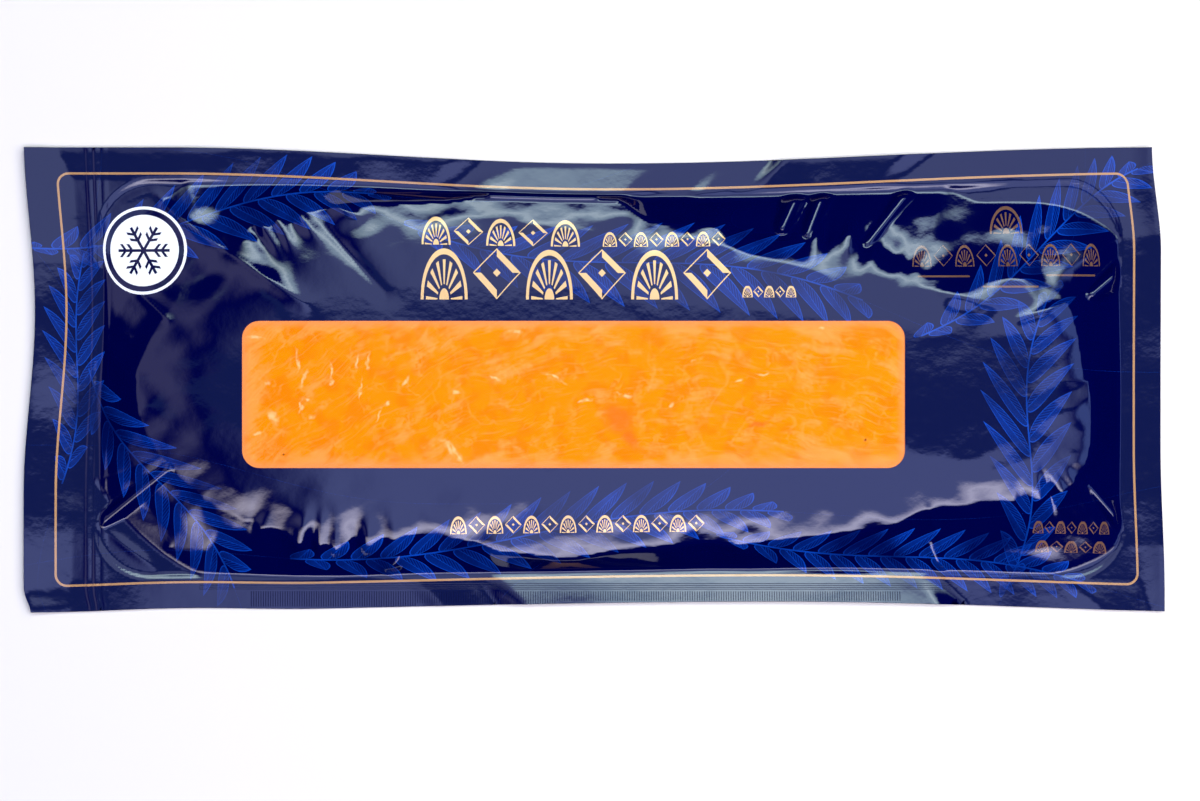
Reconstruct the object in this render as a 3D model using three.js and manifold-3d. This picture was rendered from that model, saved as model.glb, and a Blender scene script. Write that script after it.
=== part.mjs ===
// A vacuum-packed side of smoked salmon, lying flat: a printed laminate pouch with a
// clear window, and the sliced side of fish inside it. Millimetres, +Z up, the origin
// under the middle of the pack on the surface it lies on. +X runs along the fish towards
// its thick end and +Y towards the top edge of the print.
import * as THREE from 'three';
import { mergeVertices } from 'three/addons/utils/BufferGeometryUtils.js';
import Module from 'manifold-3d';

const wasm = await Module();
wasm.setup();

// ---- the pouch's driving dimensions ----
const PACK_LENGTH = 591.0;          // the flat pouch, along X
const PACK_WIDTH = 241.0;           // the flat pouch, along Y
const FILM = 0.5;                   // thickness of one web of laminate
const GAP = 0.3;                    // clearance between neighbouring pieces
const GRID_X = 54;                  // cells along and across the film
const GRID_Y = 26;
const GRID_EDGE_BIAS = 0.32;        // how much the cells close up towards the edges
const MIN_CAVITY = 0.1;             // height of the room inside where the webs meet

// ---- how far the film's edges are drawn in by the fish ----
const TOP_DRAW = { depth: 8.2, centre: 8, left: 230, right: 285 };
const BOTTOM_DRAW = { depth: 5.7, centre: 95, left: 380, right: 250 };
const BOTTOM_LEFT_DRAW = { depth: 1.6, centre: -215, left: 75, right: 75 };
const LEFT_DRAW = { depth: 5.9, centre: 36, left: 95, right: 95 };
const RIGHT_TOP_DRAW = 4.7;         // the top right corner leans in
const RIGHT_MIDDLE_DRAW = 2.0;
const CORNER_TUCK = 3.6;            // the bottom left corner is turned in
const DRAW_REACH_Y = 78;            // how far in from a long edge the draw is felt
const DRAW_REACH_X = 60;            // and in from a short one

// ---- the unsealed pocket inside the seals, on the flat film ----
const POCKET = { left: -259, right: 275, bottom: -104, top: 103, radius: 30 };

// ---- the fish ----
const CROWN_HEIGHT = 15.0;          // top of the film over the thick of the fish
const SHOULDER_HEIGHT = 10.9;       // over the edge of the fish
const TAIL_HEIGHT = 0.84;           // the tail end's share of those heights
const CROWN_REACH = 46;             // from the shoulder in to the full thickness
const SKIRT = 42;                   // how far past the fish the film reaches the other web
const SHOULDER_ROUNDING = 0.15;     // 0: straight slopes, 1: fully rounded ones
const FISH_OUTLINE = [              // its plan, from the tail round by the back
  [-238, -10], [-222, 33], [-192, 62], [-152, 86], [-85, 92], [0, 91], [62, 82],
  [138, 71], [188, 50], [240, 44], [252, 8], [249, -48], [190, -65], [118, -79],
  [10, -88], [-80, -84], [-150, -82], [-208, -58],
];
const FISH_SIDE = 7;                // how far its sides spread below the shoulder
const FISH_SIDE_DEPTH = 9;

// ---- the window ----
const WINDOW = { left: -181.4, right: 159.8, bottom: -45.5, top: 30.3, radius: 9 };

// ---- the form of the film ----
const CREASES = [                   // from, to, height, half width of each fold
  { from: [-229, 98], to: [-158, 42], rise: 2.0, spread: 7 },
  { from: [-152, 108], to: [-128, 88], rise: 1.6, spread: 7 },
  { from: [-128, 88], to: [-78, 80], rise: 0.9, spread: 8 },
  { from: [-259, -76], to: [-222, -50], rise: 1.6, spread: 6 },
  { from: [-220, -85], to: [-194, -62], rise: 1.5, spread: 6 },
  { from: [-108, -99], to: [-90, -80], rise: 1.2, spread: 6 },
  { from: [168, -66], to: [180, -101], rise: 1.3, spread: 6 },
  { from: [252, -51], to: [280, -83], rise: 1.6, spread: 6 },
  { from: [280, 63], to: [218, 31], rise: 1.5, spread: 7 },
  { from: [161, 95], to: [140, 71], rise: 1.3, spread: 6 },
  { from: [118, 95], to: [110, 75], rise: 1.2, spread: 6 },
];
const LUMPS = { height: 0.22, waves: 7, seed: 20 };
const EDGE_LIFTS = {                // start: how far outside the pocket the lift begins
  left: { height: 3.0, start: 12, reach: 24 },
  right: { height: 1.6, start: 8, reach: 12 },
  bottom: { height: 0.5, start: 5, reach: 12 },
  top: { height: 0.5, start: 5, reach: 12 },
};
const BOTTOM_MIDDLE_LIFT = { depth: 2.6, centre: 56, left: 170, right: 170 };
const EDGE_WAVES = { height: 0.5, length: 118 };

// ---- small helpers ----
const clamp01 = (t) => Math.min(1, Math.max(0, t));
const lerp = (a, b, t) => a + (b - a) * t;
const smooth = (from, to, x) => {
  const t = clamp01((x - from) / (to - from));
  return t * t * (3 - 2 * t);
};
const draw = (d, s) => {            // a soft bay, deepest at its centre
  const t = (s - d.centre) / (s < d.centre ? d.left : d.right);
  return Math.abs(t) < 1 ? d.depth * (0.5 + 0.5 * Math.cos(Math.PI * t)) : 0;
};

function seededRandom(seed) {
  let state = seed;
  return () => {
    state = (state * 1664525 + 1013904223) % 4294967296;
    return state / 4294967296;
  };
}

// Distance from a point to the straight stretch a-b, and how far along it that falls.
function toSegment(x, y, a, b) {
  const dx = b[0] - a[0];
  const dy = b[1] - a[1];
  const along = clamp01(((x - a[0]) * dx + (y - a[1]) * dy) / (dx * dx + dy * dy));
  return { away: Math.hypot(x - a[0] - dx * along, y - a[1] - dy * along), along };
}

// Distance to a rounded box's edge, positive inside it.
function insideBox(box, x, y) {
  const halfX = (box.right - box.left) / 2 - box.radius;
  const halfY = (box.top - box.bottom) / 2 - box.radius;
  const dx = Math.abs(x - (box.left + box.right) / 2) - halfX;
  const dy = Math.abs(y - (box.bottom + box.top) / 2) - halfY;
  const outside = Math.hypot(Math.max(dx, 0), Math.max(dy, 0));
  return box.radius - outside - Math.min(Math.max(dx, dy), 0);
}

// ---- the fish's plan, as a smooth closed curve ----
const fishCurve = new THREE.CatmullRomCurve3(
  FISH_OUTLINE.map(([x, y]) => new THREE.Vector3(x, y, 0)), true, 'centripetal');
const fishPlan = fishCurve.getPoints(72).slice(0, -1).map((p) => [p.x, p.y]);

// Distance to the fish's edge, positive inside it.
function insideFish(x, y) {
  let nearest = Infinity;
  let inside = false;
  for (let i = 0; i < fishPlan.length; i++) {
    const a = fishPlan[i];
    const b = fishPlan[(i + 1) % fishPlan.length];
    nearest = Math.min(nearest, toSegment(x, y, a, b).away);
    if ((a[1] > y) !== (b[1] > y) && x < a[0] + (b[0] - a[0]) * (y - a[1]) / (b[1] - a[1])) {
      inside = !inside;
    }
  }
  return inside ? nearest : -nearest;
}

// ---- the film's plan: where a point of the flat film lies on the filled pack ----
function laidOut(a, b) {
  const halfLength = PACK_LENGTH / 2;
  const halfWidth = PACK_WIDTH / 2;
  const nearTop = smooth(halfWidth - DRAW_REACH_Y, halfWidth - 12, b);
  const nearBottom = smooth(halfWidth - DRAW_REACH_Y, halfWidth - 12, -b);
  const nearLeft = smooth(halfLength - DRAW_REACH_X, halfLength - 10, -a);
  const nearRight = smooth(halfLength - DRAW_REACH_X, halfLength - 10, a);
  const leftIn = draw(LEFT_DRAW, b) + CORNER_TUCK * smooth(104, halfWidth, -b) ** 2;
  const rightIn = RIGHT_TOP_DRAW * smooth(66, halfWidth, b)
    + RIGHT_MIDDLE_DRAW * smooth(-112, -36, b);
  const bottomIn = draw(BOTTOM_DRAW, a) + draw(BOTTOM_LEFT_DRAW, a);
  return {
    x: a + leftIn * nearLeft - rightIn * nearRight,
    y: b - draw(TOP_DRAW, a) * nearTop + bottomIn * nearBottom,
  };
}

// ---- heights of the film over the surface it lies on ----
const random = seededRandom(LUMPS.seed);
const lumpWaves = Array.from({ length: LUMPS.waves }, () => {
  const heading = Math.PI * random();
  const length = 45 + 60 * random();
  return {
    kx: 2 * Math.PI * Math.cos(heading) / length,
    ky: 2 * Math.PI * Math.sin(heading) / length,
    phase: 2 * Math.PI * random(),
  };
});

function lumps(x, y) {
  const sum = lumpWaves.reduce((s, w) => s + Math.sin(w.kx * x + w.ky * y + w.phase), 0);
  return LUMPS.height * sum / Math.sqrt(LUMPS.waves);
}

function creases(x, y) {
  let height = 0;
  for (const fold of CREASES) {
    const { away, along } = toSegment(x, y, fold.from, fold.to);
    const fade = Math.sin(Math.PI * lerp(0.12, 0.88, along));
    height += fold.rise * fade * Math.exp(-((away / fold.spread) ** 2));
  }
  return height;
}

// The underside is flat under the pocket. The seals lift off towards the pack's edges,
// in shallow waves.
function underside(a, b) {
  const lifted = (side, outside) => clamp01((outside - side.start) / side.reach) ** 1.2;
  const { left, right, bottom, top } = EDGE_LIFTS;
  const wave = EDGE_WAVES.height
    * (0.5 + 0.5 * Math.sin(2 * Math.PI * (a - b) / EDGE_WAVES.length));
  const bottomHeight = bottom.height + wave + draw(BOTTOM_MIDDLE_LIFT, a);
  return Math.max(
    left.height * lifted(left, POCKET.left - a),
    right.height * lifted(right, a - POCKET.right),
    (top.height + wave) * lifted(top, b - POCKET.top),
    bottomHeight * lifted(bottom, POCKET.bottom - b));
}

// Over the fish the film follows it. From its shoulder it slopes to the other web.
function topside(a, b, x, y) {
  const inPocket = insideBox(POCKET, a, b);
  if (inPocket <= 0) {
    return underside(a, b) + 2 * FILM;
  }
  const inFish = insideFish(x, y);
  const shortOfCrown = clamp01(1 - inFish / CROWN_REACH);
  const full = lerp(CROWN_HEIGHT, SHOULDER_HEIGHT, shortOfCrown ** 2);
  const toTail = smooth(-240, -120, x);
  const beyond = Math.max(0, -inFish);
  const tent = clamp01(1 - beyond / Math.min(inPocket + beyond, SKIRT));
  const slope = lerp(tent, tent * tent * (3 - 2 * tent), SHOULDER_ROUNDING);
  const relief = (lumps(x, y) + creases(x, y)) * smooth(0, 12, inPocket);
  const covered = full * lerp(TAIL_HEIGHT, 1, toTail) - 2 * FILM;
  return 2 * FILM + Math.max(0, covered * slope + relief);
}

// ---- the grid that all the film's surfaces share ----
const edgeBiased = (t) => t - GRID_EDGE_BIAS * Math.sin(2 * Math.PI * t) / (2 * Math.PI);
const grid = [];
for (let j = 0; j <= GRID_Y; j++) {
  for (let i = 0; i <= GRID_X; i++) {
    const a = PACK_LENGTH * (edgeBiased(i / GRID_X) - 0.5);
    const b = PACK_WIDTH * (edgeBiased(j / GRID_Y) - 0.5);
    const { x, y } = laidOut(a, b);
    const top = topside(a, b, x, y);
    grid.push({ x, y, top, bottom: underside(a, b), inPocket: insideBox(POCKET, a, b) });
  }
}
const at = (i, j) => j * (GRID_X + 1) + i;

const whole = (i, j) => i >= 0 && j >= 0 && i < GRID_X && j < GRID_Y;
const corners = (i, j) => [at(i, j), at(i + 1, j), at(i + 1, j + 1), at(i, j + 1)];
const overPocket = (i, j) => whole(i, j) && corners(i, j).some((p) => grid[p].inPocket > 0);

// The directed edges round a set of cells, anticlockwise.
function edgesOf(kept) {
  const edges = [];
  for (let j = 0; j < GRID_Y; j++) {
    for (let i = 0; i < GRID_X; i++) {
      if (kept(i, j)) {
        const [p, q, r, s] = corners(i, j);
        const open = [
          [kept(i, j - 1), p, q], [kept(i + 1, j), q, r],
          [kept(i, j + 1), r, s], [kept(i - 1, j), s, p],
        ];
        edges.push(...open.filter(([shared]) => !shared).map(([, k, l]) => [k, l]));
      }
    }
  }
  return edges;
}

// A closed sheet over a set of cells, between two heights given at each point. Every
// sheet splits its cells the same way, so that their facets stay parallel. Under the
// pocket the lower side is flat, and is made as one fan of long triangles.
function sheet(kept, upper, lower) {
  const positions = grid.flatMap((p) => [p.x, p.y, upper(p), p.x, p.y, lower(p)]);
  const index = [];
  for (let j = 0; j < GRID_Y; j++) {
    for (let i = 0; i < GRID_X; i++) {
      if (kept(i, j)) {
        const [p, q, r, s] = corners(i, j);
        const rising = Math.abs(grid[p].top - grid[r].top)
          < Math.abs(grid[q].top - grid[s].top);
        const triangles = rising ? [[p, q, r], [p, r, s]] : [[p, q, s], [q, r, s]];
        for (const [k, l, m] of triangles) {
          index.push(2 * k, 2 * l, 2 * m);
          if (!overPocket(i, j)) {
            index.push(2 * k + 1, 2 * m + 1, 2 * l + 1);
          }
        }
      }
    }
  }
  for (const [p, q] of edgesOf(kept)) {
    index.push(2 * p, 2 * p + 1, 2 * q + 1, 2 * p, 2 * q + 1, 2 * q);
  }
  const middle = at(GRID_X / 2, GRID_Y / 2);
  for (const [p, q] of edgesOf(overPocket)) {
    index.push(2 * middle + 1, 2 * q + 1, 2 * p + 1);
  }
  const geometry = new THREE.BufferGeometry();
  geometry.setAttribute('position', new THREE.Float32BufferAttribute(positions, 3));
  geometry.setIndex(index);
  return geometry;
}

// ---- to and from a solid that can be joined and cut ----
function solidFrom(geometry) {
  const bare = geometry.clone();
  bare.deleteAttribute('normal');
  bare.deleteAttribute('uv');
  const merged = mergeVertices(bare, 1e-4);
  const used = new Map();
  const vertProperties = [];
  const position = merged.getAttribute('position');
  const triVerts = Array.from(merged.index.array, (v) => {
    if (!used.has(v)) {
      used.set(v, used.size);
      vertProperties.push(position.getX(v), position.getY(v), position.getZ(v));
    }
    return used.get(v);
  });
  return new wasm.Manifold(new wasm.Mesh({
    numProp: 3,
    vertProperties: Float32Array.from(vertProperties),
    triVerts: Uint32Array.from(triVerts),
  }));
}

function geometryFrom(solid) {
  const mesh = solid.getMesh();
  const geometry = new THREE.BufferGeometry();
  geometry.setAttribute('position', new THREE.BufferAttribute(mesh.vertProperties, 3));
  geometry.setIndex(new THREE.BufferAttribute(mesh.triVerts, 1));
  return geometry;
}

// ---- the cutting shapes ----
function windowPrism(inset) {
  const { left, right, bottom, top, radius } = WINDOW;
  const [l, r, b, t] = [left + inset, right - inset, bottom + inset, top - inset];
  const c = radius - inset;
  const shape = new THREE.Shape();
  shape.moveTo(l + c, b);
  shape.lineTo(r - c, b);
  shape.absarc(r - c, b + c, c, -Math.PI / 2, 0, false);
  shape.lineTo(r, t - c);
  shape.absarc(r - c, t - c, c, 0, Math.PI / 2, false);
  shape.lineTo(l + c, t);
  shape.absarc(l + c, t - c, c, Math.PI / 2, Math.PI, false);
  shape.lineTo(l, b + c);
  shape.absarc(l + c, b + c, c, Math.PI, 1.5 * Math.PI, false);
  const height = 2 * CROWN_HEIGHT;
  const prism = new THREE.ExtrudeGeometry(shape, {
    depth: height, bevelEnabled: false, curveSegments: 4,
  });
  return prism.translate(0, 0, SHOULDER_HEIGHT / 2);
}

// The fish's plan, upright above the shoulder and spreading below it.
function fishBlock() {
  const shape = new THREE.Shape(fishPlan.map(([x, y]) => new THREE.Vector2(x, y)));
  const upright = new THREE.ExtrudeGeometry(shape, {
    depth: 2 * CROWN_HEIGHT, bevelEnabled: false,
  });
  const spreading = new THREE.ExtrudeGeometry(shape, {
    depth: CROWN_HEIGHT, bevelSegments: 2, bevelSize: FISH_SIDE,
    bevelThickness: FISH_SIDE_DEPTH,
  });
  spreading.translate(0, 0, SHOULDER_HEIGHT - FISH_SIDE_DEPTH - CROWN_HEIGHT);
  return solidFrom(upright).add(solidFrom(spreading));
}

// ---- the pieces ----
// Everything over the pocket, from the surface it lies on up to a height.
const upTo = (height) => solidFrom(sheet(overPocket, height, () => 0));

// The room between the webs.
function room() {
  const ceiling = (p) => Math.max(p.top - FILM, FILM + MIN_CAVITY);
  return solidFrom(sheet(overPocket, ceiling, () => FILM));
}

function pouch() {
  const envelope = solidFrom(sheet(whole, (p) => p.top, (p) => p.bottom));
  return geometryFrom(envelope.subtract(room()).subtract(solidFrom(windowPrism(0))));
}

function windowFilm() {
  const web = upTo((p) => p.top).subtract(upTo((p) => p.top - FILM));
  return geometryFrom(web.intersect(solidFrom(windowPrism(GAP))));
}

function salmon() {
  const underFilm = upTo((p) => p.top - FILM - GAP).intersect(fishBlock());
  const floor = new THREE.BoxGeometry(PACK_LENGTH, PACK_WIDTH, 2 * (FILM + GAP));
  return geometryFrom(underFilm.subtract(solidFrom(floor)));
}

// ---- assembly ----
const materials = {
  pouch: new THREE.MeshStandardMaterial({ color: 0x10123f, roughness: 0.16, metalness: 0 }),
  window_film: new THREE.MeshStandardMaterial({
    color: 0xf4f6f8, roughness: 0.05, metalness: 0, transparent: true, opacity: 0.25,
  }),
  salmon: new THREE.MeshStandardMaterial({ color: 0xf69a2a, roughness: 0.4, metalness: 0 }),
};

const group = new THREE.Group();
for (const [name, build] of Object.entries({ pouch, window_film: windowFilm, salmon })) {
  const mesh = new THREE.Mesh(build(), materials[name]);
  mesh.name = name;
  group.add(mesh);
}

export default group;
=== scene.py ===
# %% [markdown]
# # A vacuum-packed side of smoked salmon
#
# The pack is a flat pouch of printed laminate. Two webs of film are welded together all
# round, and a vacuum pulls them tight over a sliced side of fish, so the film lies flat on
# the fish, slopes down from its edge and ends in wide flat seals. A long window in the
# front web is left unprinted, and shows the fish.
#
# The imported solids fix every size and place. This script dresses them: a fine skin of
# film with its folds, the print under its gloss, the ribs of the seals and the fish.

# %% Load the fixed frame
import math

import bpy
import numpy as np
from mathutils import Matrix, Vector


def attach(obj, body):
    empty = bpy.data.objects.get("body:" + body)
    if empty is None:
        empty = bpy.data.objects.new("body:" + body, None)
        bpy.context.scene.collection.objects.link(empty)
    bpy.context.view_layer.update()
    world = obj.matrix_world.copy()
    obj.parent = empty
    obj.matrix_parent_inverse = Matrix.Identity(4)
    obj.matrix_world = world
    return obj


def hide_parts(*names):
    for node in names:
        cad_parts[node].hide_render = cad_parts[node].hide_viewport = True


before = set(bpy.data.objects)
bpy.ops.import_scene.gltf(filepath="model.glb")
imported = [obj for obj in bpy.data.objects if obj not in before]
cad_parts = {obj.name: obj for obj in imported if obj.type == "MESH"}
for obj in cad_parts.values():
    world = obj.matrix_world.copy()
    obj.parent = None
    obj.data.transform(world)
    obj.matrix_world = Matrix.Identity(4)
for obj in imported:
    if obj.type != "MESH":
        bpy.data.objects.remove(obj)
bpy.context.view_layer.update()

MM = 0.001
print("CAD nodes:", sorted(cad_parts))

# %% [markdown]
# ## The plan of the film
#
# Every place on the pack is named on the flat film, in millimetres from its middle. When
# the pouch is filled, the film climbs over the fish and its edges are drawn in. One
# function moves a point of the flat film to where it lies, and because the print reads
# the flat film's places, the frame line bends with the edge as real print does.

# %% Sizes of the flat film and how its edges are drawn in
PACK_LENGTH = 591.0
PACK_WIDTH = 241.0
TOP_DRAW = {"depth": 8.2, "centre": 8, "left": 230, "right": 285}
BOTTOM_DRAW = {"depth": 5.7, "centre": 95, "left": 380, "right": 250}
BOTTOM_LEFT_DRAW = {"depth": 1.6, "centre": -215, "left": 75, "right": 75}
LEFT_DRAW = {"depth": 5.9, "centre": 36, "left": 95, "right": 95}
RIGHT_TOP_DRAW, RIGHT_TOP_FROM = 4.7, 66
RIGHT_MIDDLE_DRAW, RIGHT_MIDDLE_SPAN = 2.0, (-112, -36)
CORNER_TUCK, CORNER_TUCK_FROM = 3.6, 104
# How far from an edge the film starts to be drawn in, and how far from it that is full.
DRAW_STARTS, DRAW_IS_FULL = {"x": 60, "y": 78}, {"x": 10, "y": 12}
CORRECTIONS = 8


def lerp(a, b, t):
    return a + (b - a) * t


def smooth(low, high, x):
    t = np.clip((x - low) / (high - low), 0, 1)
    return t * t * (3 - 2 * t)


def drawn(bay, s):
    """A soft bay in an edge, deepest at its centre."""
    t = (s - bay["centre"]) / np.where(s < bay["centre"], bay["left"], bay["right"])
    return bay["depth"] * (0.5 + 0.5 * np.cos(np.pi * np.clip(t, -1, 1)))


def laid_out(a, b):
    """Where a point of the flat film lies on the filled pack."""
    half_length, half_width = PACK_LENGTH / 2, PACK_WIDTH / 2

    def near_end(axis, half, s):
        return smooth(half - DRAW_STARTS[axis], half - DRAW_IS_FULL[axis], s)

    near_top, near_bottom = near_end("y", half_width, b), near_end("y", half_width, -b)
    near_left, near_right = near_end("x", half_length, -a), near_end("x", half_length, a)
    left_in = drawn(LEFT_DRAW, b) + CORNER_TUCK * smooth(CORNER_TUCK_FROM, half_width, -b) ** 2
    right_in = RIGHT_TOP_DRAW * smooth(RIGHT_TOP_FROM, half_width, b)
    right_in = right_in + RIGHT_MIDDLE_DRAW * smooth(*RIGHT_MIDDLE_SPAN, b)
    bottom_in = drawn(BOTTOM_DRAW, a) + drawn(BOTTOM_LEFT_DRAW, a)
    x = a + left_in * near_left - right_in * near_right
    y = b - drawn(TOP_DRAW, a) * near_top + bottom_in * near_bottom
    return x, y


def flattened(x, y):
    """The place on the flat film of a point of the pack, found by repeated correction."""
    a, b = x, y
    for _ in range(CORRECTIONS):
        there_x, there_y = laid_out(a, b)
        a, b = a + x - there_x, b + y - there_y
    return a, b


print("the top edge's middle lies at", [round(float(v), 1) for v in laid_out(0, PACK_WIDTH / 2)])

# %% [markdown]
# ## The fish's plan
#
# A side of salmon is a long spindle: a narrow tail, a full back and a square cut end.
# A few points and a closed spline give its outline. Everything on the film is then
# worked out from two distances: how far a place is inside the pocket between the seals,
# and how far it is from the fish's edge.

# %% The pocket and the fish
BOX_PARTS = ("left", "right", "bottom", "top", "radius")
POCKET = {"left": -259, "right": 275, "bottom": -104, "top": 103, "radius": 30}
FISH_OUTLINE = [
    (-238, -10), (-222, 33), (-192, 62), (-152, 86), (-85, 92), (0, 91), (62, 82),
    (138, 71), (188, 50), (240, 44), (252, 8), (249, -48), (190, -65), (118, -79),
    (10, -88), (-80, -84), (-150, -82), (-208, -58),
]


def middle_and_halves(box):
    """The middle of a rounded box, and half its sides less the radius of its corners."""
    left, right, bottom, top, radius = (box[part] for part in BOX_PARTS)
    middle = ((left + right) / 2, (bottom + top) / 2)
    return middle, ((right - left) / 2 - radius, (top - bottom) / 2 - radius)


def inside_box(box, x, y):
    """Distance to a rounded box's edge, positive inside it."""
    middle, halves = middle_and_halves(box)
    dx, dy = np.abs(x - middle[0]) - halves[0], np.abs(y - middle[1]) - halves[1]
    outside = np.hypot(np.maximum(dx, 0), np.maximum(dy, 0))
    return box["radius"] - outside - np.minimum(np.maximum(dx, dy), 0)


def closed_spline(points, steps):
    """A closed centripetal Catmull-Rom curve through the points."""
    p = np.array(points, float)
    curve = []
    for i in range(len(p)):
        p0, p1, p2, p3 = p[i - 1], p[i], p[(i + 1) % len(p)], p[(i + 2) % len(p)]
        t0 = 0.0
        t1 = t0 + np.linalg.norm(p1 - p0) ** 0.5
        t2 = t1 + np.linalg.norm(p2 - p1) ** 0.5
        t3 = t2 + np.linalg.norm(p3 - p2) ** 0.5
        for t in np.linspace(t1, t2, steps, endpoint=False):
            a1 = lerp(p0, p1, (t - t0) / (t1 - t0))
            a2 = lerp(p1, p2, (t - t1) / (t2 - t1))
            a3 = lerp(p2, p3, (t - t2) / (t3 - t2))
            b1 = lerp(a1, a2, (t - t0) / (t2 - t0))
            b2 = lerp(a2, a3, (t - t1) / (t3 - t1))
            curve.append(lerp(b1, b2, (t - t1) / (t2 - t1)))
    return np.array(curve)


FISH_PLAN = closed_spline(FISH_OUTLINE, 10)
FISH_STRETCHES = np.roll(FISH_PLAN, -1, axis=0) - FISH_PLAN
FISH_ARC = np.concatenate([[0], np.cumsum(np.hypot(*FISH_STRETCHES.T))])


def by_line(x, y, start, end):
    """How far along a line its nearest point is, as a share, and how far away that is."""
    (x0, y0), (x1, y1) = start, end
    dx, dy = x1 - x0, y1 - y0
    along = np.clip(((x - x0) * dx + (y - y0) * dy) / (dx * dx + dy * dy), 0, 1)
    return along, np.hypot(x - x0 - along * dx, y - y0 - along * dy)


def fish_distance(x, y):
    """Distance inside the fish's edge, and how far round the edge the nearest point is."""
    nearest = np.full(x.shape, 1e9)
    around = np.zeros(x.shape)
    inside = np.zeros(x.shape, bool)
    for (px, py), (dx, dy), arc in zip(FISH_PLAN, FISH_STRETCHES, FISH_ARC):
        along, away = by_line(x, y, (px, py), (px + dx, py + dy))
        closer = away < nearest
        nearest = np.where(closer, away, nearest)
        around = np.where(closer, arc + along * np.hypot(dx, dy), around)
        crosses = ((py > y) != (py + dy > y)) & (x < px + dx * (y - py) / (dy if dy else 1e-9))
        inside ^= crosses
    return np.where(inside, nearest, -nearest), around


print("fish outline:", round(FISH_ARC[-1]), "mm round")

# %% [markdown]
# ## The height of the film
#
# The vacuum makes the film flat over the fish and straight from the fish's edge down to
# the surface beside it, like a tent with a skirt. Past the skirt the two webs lie on each
# other, and the pocket's rim curls up a little. Where the film turns down is not quite
# the fish's outline: a few knots along each long side say how far inside it the turn is.
# On that form lie folds. The film is stiff, so a fold has a sharp crest and long sides:
# an exponential of the distance from its line gives that, and a negative height makes a
# valley. Straps of tight film bridge the fall from the fish's edge to a corner or a seal.
# Here and there the film has too much length at the turn, and puckers into small teeth at
# right angles to the edge. The seals outside the pocket tilt up and down along the pack,
# again by knots, because a tilt of two degrees decides what a seal mirrors.

# %% The sizes of the form, and where its folds are
FILM = 0.16                         # the thickness of one web
CROWN_HEIGHT = 15.0
CROWN_SLOPE = 0.178                 # where the crown ends, at the turn of the film
CROWN_REACHES = [(-240, 46), (130, 46), (195, 27)]      # knots: from there to where it is flat
TAIL_HEIGHT, TAIL_SPAN = 0.84, (-240, -120)             # a share of the height by the tail
SKIRT = 44                          # how wide the fall beside the fish is
LOWER_SKIRTS = [(-230, 35), (-150, 37), (-110, 44)]     # knots: the same along the front
SIDE_LIFT_CURVE = 1.2
SIDE_LIFTS = {
    "left": {"height": 3.0, "start": 12, "reach": 24},
    "right": {"height": 1.6, "start": 8, "reach": 12},
}
FLANGE = 16.5
FLANGE_SLANT = 0.9
# Knots: a place along the pack, and the height of the seal at its cut edge or, in a fall,
# at the pocket.
TOP_RISES = [
    (-285, 0.75), (-160, 0.75), (-130, 1.05), (-92, 1.0), (-70, 0), (74, 0), (84, 1.5),
    (142, 1.5), (165, 0),
]
TOP_FALLS = [
    (-75, 0), (-45, 1.95), (12, 1.75), (32, 0.4), (44, 0.6), (55, 1.3), (60, 1.3),
    (72, 0.8), (190, 0.8), (222, 0),
]
TOP_FALL_START, TOP_FALL_REACH = -3, 4
BOTTOM_RISES = [
    (-290, 0.4), (-215, 0), (-105, 0), (-92, 0.6), (-66, 0.6), (-50, 3.0), (20, 3.5),
    (110, 3.4), (162, 3.0), (180, 0), (236, 0), (250, 0.6),
]
RIM_RISES, RIM_RISE_SPAN, RIM_REACH = (1.2, 1.8), (-60, 60), 45.0     # from bottom to top
FLANGE_GAP = 0.3
SEAM_STEP, SEAM_SPAN = 0.28, (1.0, -0.8)
FLANGE_WAVES = {"seed": 3, "waves": 6, "shortest": 30.0, "longest": 130.0}
FLANGE_WAVE_SLOPE = 0.014

FOLDS = [
    # from, to, height, half width: the broad ones of the top left, a valley among them
    ((-229, 98), (-215, 84), 0.7, 1.3), ((-215, 84), (-194, 69), 1.0, 1.8),
    ((-194, 69), (-150, 40), 1.8, 5.5), ((-158, 109), (-145, 96), 0.9, 1.5),
    ((-145, 96), (-122, 84), 1.2, 2.6), ((-141, 81), (-108, 45), -1.0, 3.6),
    ((-182, 77), (-157, 90), 0.9, 3.0), ((-156, 90), (-142, 72), 0.9, 3.6),
    ((-62, 84), (10, 74), 0.5, 8.0), ((48, 74), (120, 54), 0.7, 8.0),
    ((168, 48), (206, 38), 0.9, 7.0), ((-243, 94), (-212, 105), 0.6, 1.3),
    # and small ones over the plateau, the window and the corners
    ((172, -66), (184, -98), 0.6, 1.0), ((257, -48), (283, -78), 0.5, 0.9),
    ((255, 43), (218, 31), 0.8, 2.4), ((-235, 44), (-220, 31), 0.5, 1.2),
    ((62, -86), (65, -98), 0.5, 1.0), ((-253, -79), (-228, -98), 0.5, 1.2),
    ((-262, 30), (-240, 22), 0.5, 1.2), ((64, -41), (93, -31), 0.16, 0.8),
    ((56, -35), (60, -40), 0.12, 0.6),
]
STRAPS = [
    # (x, y, height) by the fish, the same by the seal, and half the width of its flat
    ((-220, -46, 9.0), (-258, -76, 0.1), 1.3), ((-194, -60, 9.5), (-220, -86, 1.6), 1.0),
    ((-91, -81, 9.5), (-107, -99, 5.0), 0.5), ((166, -68, 10.0), (181, -101, 3.2), 0.8),
    ((252, -51, 9.6), (281, -84, 1.6), 1.0), ((257, 44, 9.0), (281, 64, 3.2), 1.0),
    ((141, 70, 10.0), (161, 95, 4.0), 1.0), ((110, 75, 10.4), (118, 95, 6.2), 0.7),
    ((97, 78, 10.6), (104, 93, 7.2), 0.7),
]
FOLD_FADE, FOLD_ROUNDING = (0.14, 0.86), 0.5
STRAP_SIDE, STRAP_ROUNDING = 0.9, 0.7
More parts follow.
